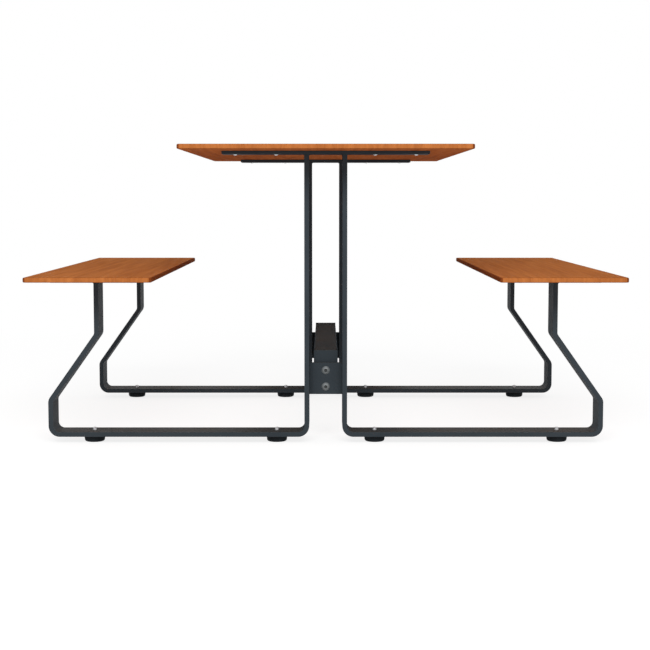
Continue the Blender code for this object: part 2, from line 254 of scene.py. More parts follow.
class FootBoltSettings(bpy.types.PropertyGroup):
    """Sizes of the bolts that hold the feet."""

    shank: length("Shank", "Diameter of the shank", 0.006)
    rise: length("Rise", "Height of the head over its seat", 0.0075)
    rim: length("Rim", "Straight part of the head's side", 0.0065)
    socket: length("Socket", "Hex socket across its flats", 0.005)
    socket_depth: length("Socket depth", "Depth of the socket", 0.003)


class BoardScrewSettings(bpy.types.PropertyGroup):
    """Sizes of the screws that hold the boards."""

    shank: length("Shank", "Diameter of the shank", 0.005)
    rise: length("Rise", "Height of the head over its seat", 0.0028)
    rim: length("Rim", "Straight part of the head's side", 0.0008)
    socket: length("Socket", "Hex socket across its flats", 0.003)
    socket_depth: length("Socket depth", "Depth of the socket", 0.002)


class MetalSettings(bpy.types.PropertyGroup):
    """What all fasteners share."""

    tip_chamfer: length("Tip chamfer", "Chamfer at the end of a shank", 0.001)
    clearance: length("Clearance", "Gap between pieces that touch or fit", 0.0003)
    stainless_tone: tone("Stainless tone", "Colour of the foot bolts", (0.74, 0.74, 0.76))
    screw_tone: tone("Screw tone", "Colour of the board screws", (0.93, 0.97, 1.0))
    plated_tone: tone("Plated tone", "Colour of the stretcher bolts", (0.19, 0.205, 0.21))


class StageSettings(bpy.types.PropertyGroup):
    """Camera and light."""

    lens: FloatProperty(
        name="Lens", description="Focal length", default=80.53, min=1.0, unit="CAMERA"
    )
    camera_distance: length("Camera distance", "From the table's middle to the camera", 4.111)
    camera_height: length("Camera height", "Height of the camera over the floor", 0.6194)
    camera_aside: length("Camera aside", "How far the camera stands left of the middle", 0.0019)
    camera_pitch: FloatProperty(
        name="Camera pitch", description="How far it looks down", default=0.0869, subtype="ANGLE"
    )
    key_power: FloatProperty(
        name="Key power", description="Large soft lamp over the camera", default=150.0, unit="POWER"
    )
    sky_strength: FloatProperty(
        name="Sky strength", description="Even light from all round", default=0.55, min=0.0
    )


class BenchTableSettings(bpy.types.PropertyGroup):
    """Everything that can be changed, by kind."""

    boards: PointerProperty(type=BoardSettings)
    steel: PointerProperty(type=SteelSettings)
    feet: PointerProperty(type=FootSettings)
    stretcher_bolt: PointerProperty(type=StretcherBoltSettings)
    foot_bolt: PointerProperty(type=FootBoltSettings)
    board_screw: PointerProperty(type=BoardScrewSettings)
    metal: PointerProperty(type=MetalSettings)
    stage: PointerProperty(type=StageSettings)


# Finishes


class Nodes:
    """A tree of shader nodes under construction."""

    def __init__(self, tree):
        self.nodes = tree.nodes
        self.links = tree.links

    def feed(self, socket, value):
        """Gives a socket another node's output, or a plain value."""
        if isinstance(value, bpy.types.NodeSocket):
            self.links.new(value, socket)
        elif hasattr(value, "__len__") and socket.type == "RGBA":
            socket.default_value = (*value, 1.0)
        else:
            socket.default_value = value

    def add(self, kind, inputs, **options):
        """A node of this kind, with its inputs by name or number and its options."""
        node = self.nodes.new("ShaderNode" + kind)
        for option, value in options.items():
            setattr(node, option, value)
        for name, value in inputs.items():
            self.feed(node.inputs[name], value)
        return node

    def math(self, operation, first, second=0.0, third=0.0, clamp=False):
        """One number worked out from up to three."""
        inputs = {0: first, 1: second, 2: third}
        return self.add("Math", inputs, operation=operation, use_clamp=clamp).outputs[0]

    def remap(self, value, low, high, new_low=0.0, new_high=1.0, **options):
        """A number moved from one range to another, and kept inside it."""
        inputs = {0: value, 1: low, 2: high, 3: new_low, 4: new_high}
        return self.add("MapRange", inputs, **options).outputs[0]

    def seen_rays(self):
        """1 for rays that show the background itself: camera, mirror and clear rays."""
        rays = self.add("LightPath", {}).outputs
        mirrored = self.math("MAXIMUM", rays["Is Glossy Ray"], rays["Is Transmission Ray"])
        return self.math("MAXIMUM", rays["Is Camera Ray"], mirrored)


class Finish(Nodes):
    """A material under construction: its shader and the nodes that feed it."""

    def __init__(self, name):
        self.material = bpy.data.materials.new(name)
        self.material.use_nodes = True
        super().__init__(self.material.node_tree)
        self.shader = self.nodes["Principled BSDF"]
        self.place = self.add("TexCoord", {}).outputs["Object"]

    def shade(self, **inputs):
        """Feeds the shader, by the names of its inputs in small letters."""
        for name, value in inputs.items():
            title = name.replace("_", " ").title().replace("Ior", "IOR")
            self.feed(self.shader.inputs[title], value)

    def stretched(self, scale, source=None):
        """Coordinates that give a pattern this many features to the metre along each axis."""
        node = self.add("Mapping", {"Vector": source or self.place, "Scale": scale})
        return node.outputs["Vector"]

    def noise(self, vector, scale=1.0, detail=2.0, roughness=0.5, output="Fac"):
        """A cloudy pattern from 0 to 1."""
        inputs = {"Vector": vector, "Scale": scale, "Detail": detail, "Roughness": roughness}
        return self.add("TexNoise", inputs).outputs[output]

    def spread(self, pattern, low=0.0, high=1.0):
        """A cloudy pattern drawn out, so that most of it runs from low to high."""
        return self.remap(pattern, *CLOUD_RANGE, low, high)

    def vector(self, operation, first, second, third=(0.0, 0.0, 0.0)):
        """One vector worked out from two or three."""
        inputs = {0: first, 1: second, 2: third}
        return self.add("VectorMath", inputs, operation=operation).outputs[0]

    def axis(self, vector, name):
        """One part of a vector."""
        return self.add("SeparateXYZ", {0: vector}).outputs[name]

    def tinted(self, colour, shade):
        """A colour made lighter or darker by a number."""
        inputs = {0: colour, "Scale": shade}
        return self.add("VectorMath", inputs, operation="SCALE").outputs[0]

    def blend(self, amount, first, second, mode="MIX"):
        """Two colours mixed by an amount."""
        node = self.add("Mix", {}, data_type="RGBA", blend_type=mode)
        self.feed(node.inputs["Factor"], amount)
        self.feed(node.inputs["A"], first)
        self.feed(node.inputs["B"], second)
        return node.outputs["Result"]

    def bump(self, height, depth, strength):
        """The surface normal over a relief of this depth."""
        inputs = {"Height": height, "Distance": depth, "Strength": strength}
        return self.add("Bump", inputs).outputs["Normal"]

    def edge(self):
        """How far a face is marked: an eased edge, a board's rim or the inside of a socket."""
        return self.add("Attribute", {}, attribute_name="edge").outputs["Fac"]

    def upward(self):
        """1 on faces that look up, 0 on upright ones and -1 on those that look down."""
        return self.axis(self.add("NewGeometry", {}).outputs["Normal"], "Z")


def wood_finish(settings):
    """Straight-grained wood under a matt oil: grain along Y, with painted shade making it darker
    and redder below and dark at the rim.
    """
    finish = Finish("oiled_wood")
    sway = finish.noise(finish.stretched(SWAY), output="Color")
    shift = finish.vector("SUBTRACT", sway, (0.5, 0.5, 0.5))
    swayed = finish.vector("MULTIPLY_ADD", shift, SWAY_REACH, finish.place)

    figure = finish.noise(finish.stretched(FIGURE, swayed), detail=3.0)
    rings = finish.math("PINGPONG", finish.math("MULTIPLY", figure, RING_COUNT), 1.0)
    streak = finish.noise(finish.stretched(STREAKS, swayed))
    fibre = finish.noise(finish.stretched(FIBRES, swayed), detail=3.0, roughness=0.6)
    pore = finish.noise(finish.stretched(PORES, swayed), detail=1.0)
    pore = finish.remap(pore, *PORE_RANGE)

    grain = finish.remap(figure, *FIGURE_RANGE, *FIGURE_SHARE)
    grain = finish.math("MULTIPLY_ADD", rings, RING_SHARE, grain)
    grain = finish.math("MULTIPLY_ADD", finish.spread(streak), STREAK_SHARE, grain)
    grain = finish.math("MULTIPLY_ADD", finish.spread(fibre), FIBRE_SHARE, grain, clamp=True)
    colour = finish.blend(grain, settings.dark_tone, settings.pale_tone)
    colour = finish.blend(finish.math("MULTIPLY", pore, PORE_SHARE), colour, settings.dark_tone)
    # Painted shade: the underside made darker and redder.
    below = finish.remap(finish.upward(), *UNDER_FACING, 1.0, 0.0)
    colour = finish.blend(below, colour, settings.under_shade_tint, "MULTIPLY")
    # Painted shade at the rim.
    rim = finish.math("MULTIPLY", finish.edge(), RIM_SHARE)
    colour = finish.blend(rim, colour, settings.rim_shade_tone)

    relief = finish.math("MULTIPLY_ADD", pore, -PORE_DEPTH, fibre)
    dull = finish.spread(streak, 0.68, 0.78)
    finish.shade(
        base_color=colour,
        roughness=finish.math("MULTIPLY_ADD", pore, PORE_DULLNESS, dull),
        normal=finish.bump(relief, depth=0.0002, strength=0.35),
        specular_ior_level=WOOD_SHINE,
    )
    return finish.material


def coat_finish(settings):
    """Fine-textured anthracite powder coat, rubbed along its edges, with a film of dust on top."""
    finish = Finish("anthracite_coat")
    cloud = finish.noise(finish.place, scale=9.0, detail=4.0)
    rub = finish.noise(finish.place, scale=85.0, detail=4.0, roughness=0.65)
    peel = finish.noise(finish.place, scale=420.0, detail=1.0)
    grit = finish.noise(finish.place, scale=1700.0)

    speckle = finish.math("MULTIPLY_ADD", grit, 0.5, finish.math("MULTIPLY", cloud, 0.5))
    colour = finish.tinted(settings.coat_tone, finish.spread(speckle, 0.82, 1.18))
    level = finish.remap(finish.upward(), *DUST_FACING)
    dusty = finish.math("MULTIPLY", level, finish.spread(cloud, 0.35, 0.75))
    colour = finish.blend(dusty, colour, settings.dust_tone)
    bare = finish.remap(rub, *RUB_RANGE, 0.0, RUB_SHARE)
    worn = finish.math("MULTIPLY", finish.edge(), bare)
    colour = finish.blend(worn, colour, settings.worn_tone)

    # Painted shade: little shine near the middle, where the table shades the coat, full shine
    # further out.
    aside = finish.math("ABSOLUTE", finish.axis(finish.place, "X"))
    unshaded = (settings.painted_shade_fade_start, settings.painted_shade_fade_end)
    shine = finish.remap(aside, *unshaded, *COAT_SHINE, interpolation_type="SMOOTHERSTEP")
    relief = finish.math("MULTIPLY_ADD", grit, GRIT_HEIGHT, peel)
    finish.shade(
        base_color=colour,
        roughness=finish.spread(cloud, 0.58, 0.68),
        normal=finish.bump(relief, depth=0.0003, strength=0.4),
        specular_ior_level=shine,
    )
    return finish.material


def coat():
    """The powder coat that all steel shares, made once."""
    made = bpy.data.materials.get("anthracite_coat")
    return made or coat_finish(bpy.context.scene.bench_table.steel)


def metal_finish(name, colour):
    """Bare metal with fine scratches and an uneven polish, with painted shade inside its sockets.
    """
    roughness, metallic = METAL_LOOKS[name]
    finish = Finish(name)
    polish = finish.noise(finish.place, scale=320.0, detail=3.0)
    scratch = finish.noise(finish.stretched(SCRATCHES))
    # Painted shade inside the sockets.
    light = finish.remap(finish.edge(), 0.0, 1.0, 1.0, SOCKET_LIGHT)
    shade = finish.math("MULTIPLY", finish.spread(polish, 0.88, 1.06), light)
    finish.shade(
        base_color=finish.tinted(colour, shade),
        metallic=metallic,
        roughness=finish.spread(scratch, roughness - 0.05, roughness + 0.08),
        normal=finish.bump(scratch, depth=0.00005, strength=0.3),
    )
    return finish.material


def rubber_finish(settings):
    """Matt black moulded rubber, dusty in places."""
    finish = Finish("foot_rubber")
    dust = finish.noise(finish.place, scale=60.0, detail=4.0)
    grit = finish.noise(finish.place, scale=1400.0)
    finish.shade(
        base_color=finish.tinted(settings.rubber_tone, finish.spread(dust, 0.8, 1.5)),
        roughness=finish.spread(dust, 0.62, 0.78),
        normal=finish.bump(grit, depth=0.0002, strength=0.35),
        specular_ior_level=RUBBER_SHINE,
    )
    return finish.material


# Shapes


def new_shape():
    """An empty shape, whose faces can be marked for the finish."""
    shape = bmesh.new()
    shape.faces.layers.float.new("edge")
    return shape


def block(low, high):
    """A box between two corners."""
    shape = new_shape()
    size = Matrix.Diagonal((*(high - low), 1.0))
    bmesh.ops.create_cube(shape, size=1.0, matrix=Matrix.Translation((low + high) / 2) @ size)
    return shape


def mark_edge(shape, faces, amount=1.0):
    """Marks faces, which the finishes read."""
    layer = shape.faces.layers.float["edge"]
    for face in faces:
        face[layer] = amount


def round_over(shape, edges, radius, segments):
    """Rounds edges, and marks the new faces."""
    made = bmesh.ops.bevel(
        shape,
        geom=edges,
        offset=radius,
        offset_type="OFFSET",
        segments=segments,
        profile=0.5,
        affect="EDGES",
        clamp_overlap=True,
        material=-1,
    )
    mark_edge(shape, made["faces"])


def facing(shape, axis, least):
    """The faces that look along an axis, either way, at least this squarely."""
    return [face for face in shape.faces if abs(face.normal.dot(axis)) > least]


def upright_edges(shape):
    """The edges of a shape that run along Z."""
    found = []
    for edge in shape.edges:
        run = edge.verts[0].co - edge.verts[1].co
        if abs(run.z) > PARALLEL * run.length:
            found.append(edge)
    return found


def region(faces):
    """Faces with their edges and corners, as needed to draw them out and leave no wall behind."""
    edges = {edge for face in faces for edge in face.edges}
    verts = {vert for face in faces for vert in face.verts}
    return [*faces, *edges, *verts]


def only(kind, items):
    """The items of one kind, out of all that an operator made."""
    return [item for item in items if isinstance(item, kind)]


def extruded(shape, faces, move):
    """Draws faces out by a move, and returns the faces at the far end."""
    made = bmesh.ops.extrude_face_region(shape, geom=region(faces))["geom"]
    bmesh.ops.translate(shape, verts=only(bmesh.types.BMVert, made), vec=move)
    return only(bmesh.types.BMFace, made)


def section(middle, across, thickness, width, heading, radius, segments):
    """A flat face with round corners, square to a heading: the cross-section of a bar or tube."""
    shape = new_shape()
    sideways = heading.cross(across)
    turn = Matrix((sideways * thickness, across * width, heading)).transposed().to_4x4()
    bmesh.ops.create_grid(
        shape, x_segments=1, y_segments=1, size=0.5, matrix=Matrix.Translation(middle) @ turn
    )
    bmesh.ops.bevel(
        shape,
        geom=shape.verts[:],
        offset=radius,
        offset_type="OFFSET",
        segments=segments,
        profile=0.5,
        affect="VERTICES",
        material=-1,
    )
    return shape


def bent_bar(corners, radii, width, thickness, edge_radius):
    """A flat bar along a path in the XZ plane, bent round an arc at each inner corner."""
    heading = (corners[1] - corners[0]).normalized()
    shape = section(corners[0], ALONG, thickness, width, heading, edge_radius, EDGE_SEGMENTS)
    end = shape.faces[:]
    reached = corners[0]
    for corner, after, radius in zip(corners[1:], corners[2:], radii):
        ahead = (after - corner).normalized()
        bend = heading.angle(ahead)
        setback = radius * math.tan(bend / 2)
        start = corner - heading * setback
        end = extruded(shape, end, start - reached)
        axis = heading.cross(ahead).normalized()
        made = bmesh.ops.spin(
            shape,
            geom=region(end),
            cent=start + axis.cross(heading) * radius,
            axis=axis,
            angle=bend,
            steps=max(2, round(bend / BEND_STEP)),
        )["geom_last"]
        end = only(bmesh.types.BMFace, made)
        reached = corner + ahead * setback
        heading = ahead
    extruded(shape, end, corners[-1] - reached)
    bmesh.ops.recalc_face_normals(shape, faces=shape.faces[:])
    least, most = EASED_FACING
    mark_edge(shape, [face for face in shape.faces if least < abs(face.normal.y) < most])
    return shape


def cut_out(shape, cutter):
    """The shape with the cutter's shape taken out of it. Both are used up."""
    pieces = []
    for name, made in (("body", shape), ("cutter", cutter)):
        mesh = bpy.data.meshes.new(name)
        made.to_mesh(mesh)
        made.free()
        piece = bpy.data.objects.new(name, mesh)
        bpy.context.scene.collection.objects.link(piece)
        pieces.append(piece)
    boolean = pieces[0].modifiers.new("cut", "BOOLEAN")
    boolean.operation = "DIFFERENCE"
    boolean.solver = "EXACT"
    boolean.object = pieces[1]
    result = bmesh.new()
    result.from_object(pieces[0], bpy.context.evaluated_depsgraph_get())
    for piece in pieces:
        mesh = piece.data
        bpy.data.objects.remove(piece)
        bpy.data.meshes.remove(mesh)
    if not result.faces:
        raise RuntimeError("a cut left nothing of the shape")
    return result


def prisms(places, radius, low, high, sides):
    """A prism in each place, along the place's Z from low to high, its flats at the radius."""
    shape = bmesh.new()
    corner = radius / math.cos(math.pi / sides)
    for place in places:
        bmesh.ops.create_cone(
            shape,
            cap_ends=True,
            segments=sides,
            radius1=corner,
            radius2=corner,
            depth=high - low,
            matrix=place @ Matrix.Translation((0, 0, (low + high) / 2)),
        )
    return shape


def nodes_named(*words):
    """The CAD nodes whose names hold all the words."""
    return sorted(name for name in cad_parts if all(word in name for word in words))


def seat_of(node, size, outward):
    """Where a fastener's head seats, with Z leading out of the head, and its shank's reach."""
    low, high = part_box(node)
    whole = abs((high - low).dot(outward))
    seat = (low + high) / 2 + outward * (whole / 2 - size.rise)
    turn = UP.rotation_difference(outward).to_matrix().to_4x4()
    return Matrix.Translation(seat) @ turn, whole - size.rise


def drilled(shape, size, outward, *words):
    """The shape with holes for the fasteners whose names hold the words."""
    clearance = bpy.context.scene.bench_table.metal.clearance
    seats = [seat_of(node, size, outward) for node in nodes_named(*words)]
    places = [place for place, reach in seats]
    reach = max(reach for place, reach in seats)
    holes = prisms(places, size.shank / 2 + clearance, -reach - clearance, size.rise, TURN_STEPS)
    return cut_out(shape, holes)


def add_piece(name, shape, finish, slot, *replaced):
    """Adds an object of this shape to the frame, in place of the CAD nodes named."""
    bmesh.ops.remove_doubles(shape, verts=shape.verts[:], dist=MERGE_DISTANCE)
    bmesh.ops.recalc_face_normals(shape, faces=shape.faces[:])
    if not shape.faces or not all(edge.is_manifold for edge in shape.edges):
        raise RuntimeError(f"{name} isn't a closed body")
    mesh = bpy.data.meshes.new(name)
    shape.to_mesh(mesh)
    shape.free()
    mesh.shade_smooth()
    mesh.set_sharp_from_angle(angle=SHARP_ANGLE)
    mesh.materials.append(finish)
    piece = bpy.data.objects.new(name, mesh)
    bpy.context.scene.collection.objects.link(piece)
    even = piece.modifiers.new("even_normals", "WEIGHTED_NORMAL")
    even.weight = 100
    even.keep_sharp = True
    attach(piece, "root")
    if replaced:
        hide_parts(*replaced)


def fine(node):
    """The name of the finer mesh that stands for a CAD node."""
    return "fine_" + node


# Pieces


class BENCHTABLE_OT_boards(bpy.types.Operator):
    """Makes the table top and the two bench seats"""

    bl_idname = "bench_table.boards"
    bl_label = "Boards"

    def execute(self, context):
        whole = context.scene.bench_table
        wood = wood_finish(whole.boards)
        screws = {"table_top": ("table_screw",)}
        for side in SIDES:
            screws[f"bench_seat_{side}"] = ("bench_screw", side)
        for node, words in screws.items():
            shape = block(*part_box(node))
            round_over(shape, upright_edges(shape), whole.boards.corner_radius, CORNER_SEGMENTS)
            rim = {edge for face in facing(shape, UP, LEVEL_FACING) for edge in face.edges}
            round_over(shape, list(rim), whole.boards.edge_radius, RIM_SEGMENTS)
            mark_edge(shape, facing(shape, ALONG, END_FACING), END_MARK)
            mark_edge(shape, facing(shape, ACROSS, SIDE_FACING))
            shape = drilled(shape, whole.board_screw, -UP, *words)
            add_piece(fine(node), shape, wood, "wood_board", node)
        return {"FINISHED"}


class BENCHTABLE_OT_legs(bpy.types.Operator):
    """Makes the four bent bars: post, floor rail, outer upright, slope and bench upright in one"""

    bl_idname = "bench_table.legs"
    bl_label = "Bent legs"

    def corners(self, node, bar, context):
        """The corners of a leg's middle line, from its post's top to the bench, and its width."""
        steel = context.scene.bench_table.steel
        half = steel.bar_thickness / 2
        low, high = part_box(node)
        bar_low, bar_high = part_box(bar)
        bench = (bar_low.x + bar_high.x) / 2
        inner, outer = (low.x, high.x) if bench > 0 else (high.x, low.x)
        outward = math.copysign(half, bench)
        post, upright = inner + outward, outer - outward
        leg_top = bar_low.z - context.scene.bench_table.metal.clearance
        rail = low.z + half
        path = (
            (post, high.z),
            (post, rail),
            (upright, rail),
            (upright, steel.low_knee_height),
            (bench, leg_top - steel.bench_upright),
            (bench, leg_top),
        )
        return [Vector((x, (low.y + high.y) / 2, z)) for x, z in path], high.y - low.y

    def execute(self, context):
        whole = context.scene.bench_table
        steel = whole.steel
        floor_bend = steel.floor_bend_radius + steel.bar_thickness / 2
        knee = steel.knee_radius + steel.bar_thickness / 2
        radii = (floor_bend, floor_bend, knee, knee)
        for end in ENDS:
            for side in SIDES:
                node = f"leg_{end}_{side}"
                corners, width = self.corners(node, f"bench_bar_{end}_{side}", context)
                shape = bent_bar(corners, radii, width, steel.bar_thickness, steel.edge_radius)
                shape = drilled(shape, whole.foot_bolt, UP, "foot_bolt", end, side)
                add_piece(fine(node), shape, coat(), "powder_coat", node)
        return {"FINISHED"}


class BENCHTABLE_OT_flats(bpy.types.Operator):
    """Makes the flat bars under the boards, the cross plates and the stretcher's end plates"""

    bl_idname = "bench_table.flats"
    bl_label = "Flat bars and plates"

    def execute(self, context):
        whole = context.scene.bench_table
        for end, outward in zip(ENDS, (-ALONG, ALONG)):
            bolts = ("stretcher_bolt", end)
            kinds = [
                (f"table_bar_{end}", whole.board_screw, -UP, ("table_screw", end)),
                (f"cross_plate_{end}", whole.stretcher_bolt, outward, bolts),
                (f"stretcher_end_{end}", whole.stretcher_bolt, outward, bolts),
            ]
            for side in SIDES:
                screws = ("bench_screw", end, side)
                kinds.append((f"bench_bar_{end}_{side}", whole.board_screw, -UP, screws))
            for node, size, head, words in kinds:
                shape = block(*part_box(node))
                round_over(shape, shape.edges[:], whole.steel.edge_radius, EDGE_SEGMENTS)
                shape = drilled(shape, size, head, *words)
                add_piece(fine(node), shape, coat(), "powder_coat", node)
        return {"FINISHED"}


class BENCHTABLE_OT_stretcher_tube(bpy.types.Operator):
    """Makes the hollow tube between the frames"""

    bl_idname = "bench_table.stretcher_tube"
    bl_label = "Stretcher tube"

    def execute(self, context):
        steel = context.scene.bench_table.steel
        low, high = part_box("stretcher_tube")
        size = high - low
        start = Vector(((low.x + high.x) / 2, low.y, (low.z + high.z) / 2))
        shape = section(start, UP, size.x, size.z, ALONG, steel.tube_radius, RIM_SEGMENTS)
        bmesh.ops.inset_region(
            shape,
            faces=shape.faces[:],
            thickness=steel.tube_wall,
            use_boundary=True,
            use_even_offset=True,
        )
        bore = max(shape.faces, key=lambda face: len(face.verts))
        bmesh.ops.delete(shape, geom=[bore], context="FACES_ONLY")
        extruded(shape, shape.faces[:], ALONG * size.y)
        add_piece(fine("stretcher_tube"), shape, coat(), "powder_coat", "stretcher_tube")
        return {"FINISHED"}


class BENCHTABLE_OT_welds(bpy.types.Operator):
    """Makes the fillet welds between bars and plates"""

    bl_idname = "bench_table.welds"
    bl_label = "Welds"

    def bead(self, shape, steel, start, end, first_wall, second_wall):
        """Adds a rippled fillet from start to end, in the corner that two walls lead away from."""
        run = end - start
        axis = first_wall.cross(second_wall)
        first = shape.verts.new(start + first_wall * steel.weld_leg)
        before = set(shape.verts)
        bmesh.ops.spin(
            shape, geom=[first], cent=start, axis=axis, angle=math.pi / 2, steps=BEAD_STEPS
        )
        arc = [vert for vert in shape.verts if vert not in before]
        faces = [shape.faces.new([shape.verts.new(start), first, *arc])]
        stations = 2 * round(run.length / steel.weld_pitch)
        size = 1.0
        for station in range(stations + 1):
            at = start + run * station / stations
            if station:
                faces = extruded(shape, faces, run / stations)
            wanted = WELD_CREST if station % 2 else WELD_DIP
            if station in (0, stations):
                wanted = WELD_TIP
            bmesh.ops.scale(
                shape,
                vec=(wanted / size,) * 3,
                space=Matrix.Translation(-at),
                verts=faces[0].verts[:],
            )
            size = wanted

    def post_welds(self, steel, bar, leg, middle):
        """Both beads between a bar's underside and the bent bar that stands under its middle."""
        shape = bmesh.new()
        low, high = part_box(leg)
        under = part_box(bar)[0].z
        near = Vector((middle, low.y + steel.weld_leg, under))
        far = Vector((middle, high.y - steel.weld_leg, under))
        for outward in (-ACROSS, ACROSS):
            aside = outward * steel.bar_thickness / 2
            self.bead(shape, steel, near + aside, far + aside, outward, -UP)
        return shape

    def plate_welds(self, steel, plate, side):
        """Both beads between a cross plate and one post."""
        shape = bmesh.new()
        low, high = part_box(plate)
        edge = high.x if side > 0 else low.x
        for face, outward in ((low.y, -ALONG), (high.y, ALONG)):
            foot = Vector((edge, face, low.z + steel.weld_leg))
            head = Vector((edge, face, high.z - steel.weld_leg))
            self.bead(shape, steel, foot, head, ACROSS * -side, outward)
        return shape

    def execute(self, context):
        steel = context.scene.bench_table.steel
        half = steel.bar_thickness / 2
        for end in ENDS:
            table_bar = f"table_bar_{end}"
            plate = f"cross_plate_{end}"
            for side, sign in zip(SIDES, (-1, 1)):
                leg = f"leg_{end}_{side}"
                low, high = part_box(leg)
                post = low.x + half if sign > 0 else high.x - half
                bench_bar = f"bench_bar_{end}_{side}"
                bench_low, bench_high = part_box(bench_bar)
                bench = (bench_low.x + bench_high.x) / 2
                made = {
                    f"weld_table_bar_{end}_{side}": self.post_welds(steel, table_bar, leg, post),
                    f"weld_bench_bar_{end}_{side}": self.post_welds(steel, bench_bar, leg, bench),
                    f"weld_cross_plate_{end}_{side}": self.plate_welds(steel, plate, sign),
                }
                for name, shape in made.items():
                    add_piece(name, shape, coat(), "powder_coat")
        return {"FINISHED"}


class BENCHTABLE_OT_feet(bpy.types.Operator):
    """Makes the round pads under the rails"""

    bl_idname = "bench_table.feet"
    bl_label = "Feet"

    def execute(self, context):
        whole = context.scene.bench_table
        feet = whole.feet
        rubber = rubber_finish(feet)
        for node in (name for name in nodes_named("foot_") if "bolt" not in name):
            low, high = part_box(node)
            wide = (high.x - low.x) / 2
            tall = high.z - low.z
            shape = new_shape()
            bmesh.ops.create_cone(
                shape,
                cap_ends=True,
                segments=TURN_STEPS,
                radius1=wide - feet.taper * tall / (tall - feet.base_radius),
                radius2=wide,
                depth=tall,
                matrix=Matrix.Translation((low + high) / 2),
            )
            for level, radius in ((1, feet.rim_radius), (-1, feet.base_radius)):
                cap = max(shape.faces, key=lambda face: level * face.calc_center_median().z)
                round_over(shape, cap.edges[:], radius, RIM_SEGMENTS)
            shape = drilled(shape, whole.foot_bolt, UP, node.replace("foot_", "foot_bolt_"))
            add_piece(fine(node), shape, rubber, "foot_pad", node)
        return {"FINISHED"}


def fastener_shape(size, head, reach):
    """A domed head that seats at zero height over its shank, with a hex socket."""
    chamfer = bpy.context.scene.bench_table.metal.tip_chamfer
    dome = size.rise - size.rim
    ball = ((head / 2) ** 2 + dome**2) / (2 * dome)
    shape = bmesh.new()
    top = shape.verts.new((0, 0, size.rise))
    last = bmesh.ops.spin(
        shape,
        geom=[top],
        cent=(0, 0, size.rise - ball),
        axis=ALONG,
        angle=math.asin(head / 2 / ball),
        steps=DOME_STEPS,
    )["geom_last"]
    tail = only(bmesh.types.BMVert, last)
    shank = size.shank / 2
    profile = (
        (head / 2, 0),
        (shank, 0),
        (shank, chamfer - reach),
        (shank - chamfer, -reach),
        (0, -reach),
    )
    for radius, height in profile:
        tail = bmesh.ops.extrude_vert_indiv(shape, verts=tail)["verts"]
        tail[0].co = (radius, 0, height)
    bmesh.ops.spin(
        shape,
        geom=shape.verts[:] + shape.edges[:],
        cent=(0, 0, 0),
        axis=UP,
        angle=math.tau,
        steps=TURN_STEPS,
        use_merge=True,
    )
    bmesh.ops.remove_doubles(shape, verts=shape.verts[:], dist=MERGE_DISTANCE)
    bmesh.ops.recalc_face_normals(shape, faces=shape.faces[:])
    floor = size.rise - size.socket_depth
    socket = prisms([Matrix()], size.socket / 2, floor, size.rise + floor, HEX_SIDES)
    shape = cut_out(shape, socket)
    shape.faces.layers.float.new("edge")
    # The socket's inner faces are marked for painted shade.
    inside = []
    for face in shape.faces:
        middle = face.calc_center_median()
        within = middle.xy.length < SOCKET_REACH * size.socket
        if within and floor < middle.z + SOCKET_SLACK < size.rise:
            inside.append(face)
    mark_edge(shape, inside)
    return shape


def add_fasteners(words, size, outward, finish, slot):
    """Adds a fastener in place of each CAD node whose name holds the words."""
    for node in nodes_named(*words):
        low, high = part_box(node)
        place, reach = seat_of(node, size, outward)
        head = max((high - low)[axis] for axis in range(3) if not outward[axis])
        shape = fastener_shape(size, head, reach)
        bmesh.ops.transform(shape, matrix=place, verts=shape.verts[:])
        add_piece(fine(node), shape, finish, slot, node)


class BENCHTABLE_OT_stretcher_bolts(bpy.types.Operator):
    """Makes the bolts through the cross plates"""

    bl_idname = "bench_table.stretcher_bolts"
    bl_label = "Stretcher bolts"

    def execute(self, context):
        whole = context.scene.bench_table
        plated = metal_finish("dull_plating", whole.metal.plated_tone)
        for end, outward in zip(ENDS, (-ALONG, ALONG)):
            words = ("stretcher_bolt", end)
            add_fasteners(words, whole.stretcher_bolt, outward, plated, "plated_bolt")
        return {"FINISHED"}


class BENCHTABLE_OT_foot_bolts(bpy.types.Operator):
    """Makes the bolts through the rails into the feet"""

    bl_idname = "bench_table.foot_bolts"
    bl_label = "Foot bolts"

    def execute(self, context):
        whole = context.scene.bench_table
        steel = metal_finish("bright_steel", whole.metal.stainless_tone)
        add_fasteners(("foot_bolt",), whole.foot_bolt, UP, steel, "stainless")
        return {"FINISHED"}


class BENCHTABLE_OT_board_screws(bpy.types.Operator):
    """Makes the screws through the bars into the boards"""

    bl_idname = "bench_table.board_screws"
    bl_label = "Board screws"

    def execute(self, context):
        whole = context.scene.bench_table
        zinc = metal_finish("zinc_white", whole.metal.screw_tone)
        for kind in ("table_screw", "bench_screw"):
            add_fasteners((kind,), whole.board_screw, -UP, zinc, "stainless")
        return {"FINISHED"}


# Studio


